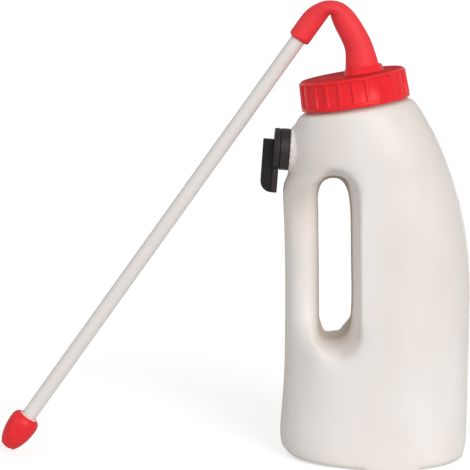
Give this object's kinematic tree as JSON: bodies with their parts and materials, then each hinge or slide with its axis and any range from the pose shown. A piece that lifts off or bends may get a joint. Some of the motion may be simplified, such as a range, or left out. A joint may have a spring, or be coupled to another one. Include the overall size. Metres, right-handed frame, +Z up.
{
  "type": "drenching bottle",
  "caption": "Hand-held livestock drenching bottle with a through hand hole, leaning screw cap, folded rubber elbow, stiff probe with a soft tip and a thumb-turned air valve.",
  "frame": {"origin": "centre of the whole object's outline at the floor, under the foot of the bottle", "axes": "+X from the probe's tip towards the bottle's back, +Z up, Y across the bottle, which is alike on both sides"},
  "size_m": [0.4431, 0.1266, 0.4301],
  "materials": {
    "milky_plastic": "satin, translucent",
    "tube_plastic": "satin",
    "red_plastic": "gloss",
    "red_rubber": "matt",
    "black_plastic": "satin",
    "seal_rubber": "matt",
    "spring_steel": "bright"
  },
  "bodies": {
    "bottle": {"bottle": "milky_plastic", "valve_body": "black_plastic", "valve_gasket": "seal_rubber", "valve_nut": "black_plastic", "valve_seal": "seal_rubber"},
    "gasket": {"cap_gasket": "seal_rubber"},
    "cap": {"screw_cap": "red_plastic", "rubber_elbow": "red_rubber"},
    "probe": {"probe_tube": "tube_plastic", "probe_tip": "red_rubber"},
    "lever": {"valve_lever": "black_plastic", "valve_clip": "spring_steel"}
  },
  "joints": [
    {"name": "cap_lift", "type": "slide", "parent": "bottle", "child": "gasket", "axis": [-0.1547, 0, 0.988], "range_m": [0, 0.009]},
    {"name": "cap_turn", "type": "hinge", "parent": "gasket", "child": "cap", "pos_m": [0.114, 0, 0.3345], "axis": [-0.1547, 0, 0.988], "range_deg": [0, 540]},
    {"name": "elbow_bend", "type": "hinge", "parent": "cap", "child": "probe", "pos_m": [0.09809, 0, 0.42701], "axis": [0, 1, 0], "range_deg": [-5, 135], "stiffness_Nm_per_rad": 0.03, "springref_deg": 134.99, "deforming": ["rubber_elbow"]},
    {"name": "valve_turn", "type": "hinge", "parent": "bottle", "child": "lever", "pos_m": [0.05267, 0, 0.2914], "axis": [-0.9976, 0, 0.0698], "range_deg": [0, 90]}
  ],
  "couplings": [
    {"joint": "cap_lift", "follows": "cap_turn", "m_per_rad": 0.000954}
  ]
}
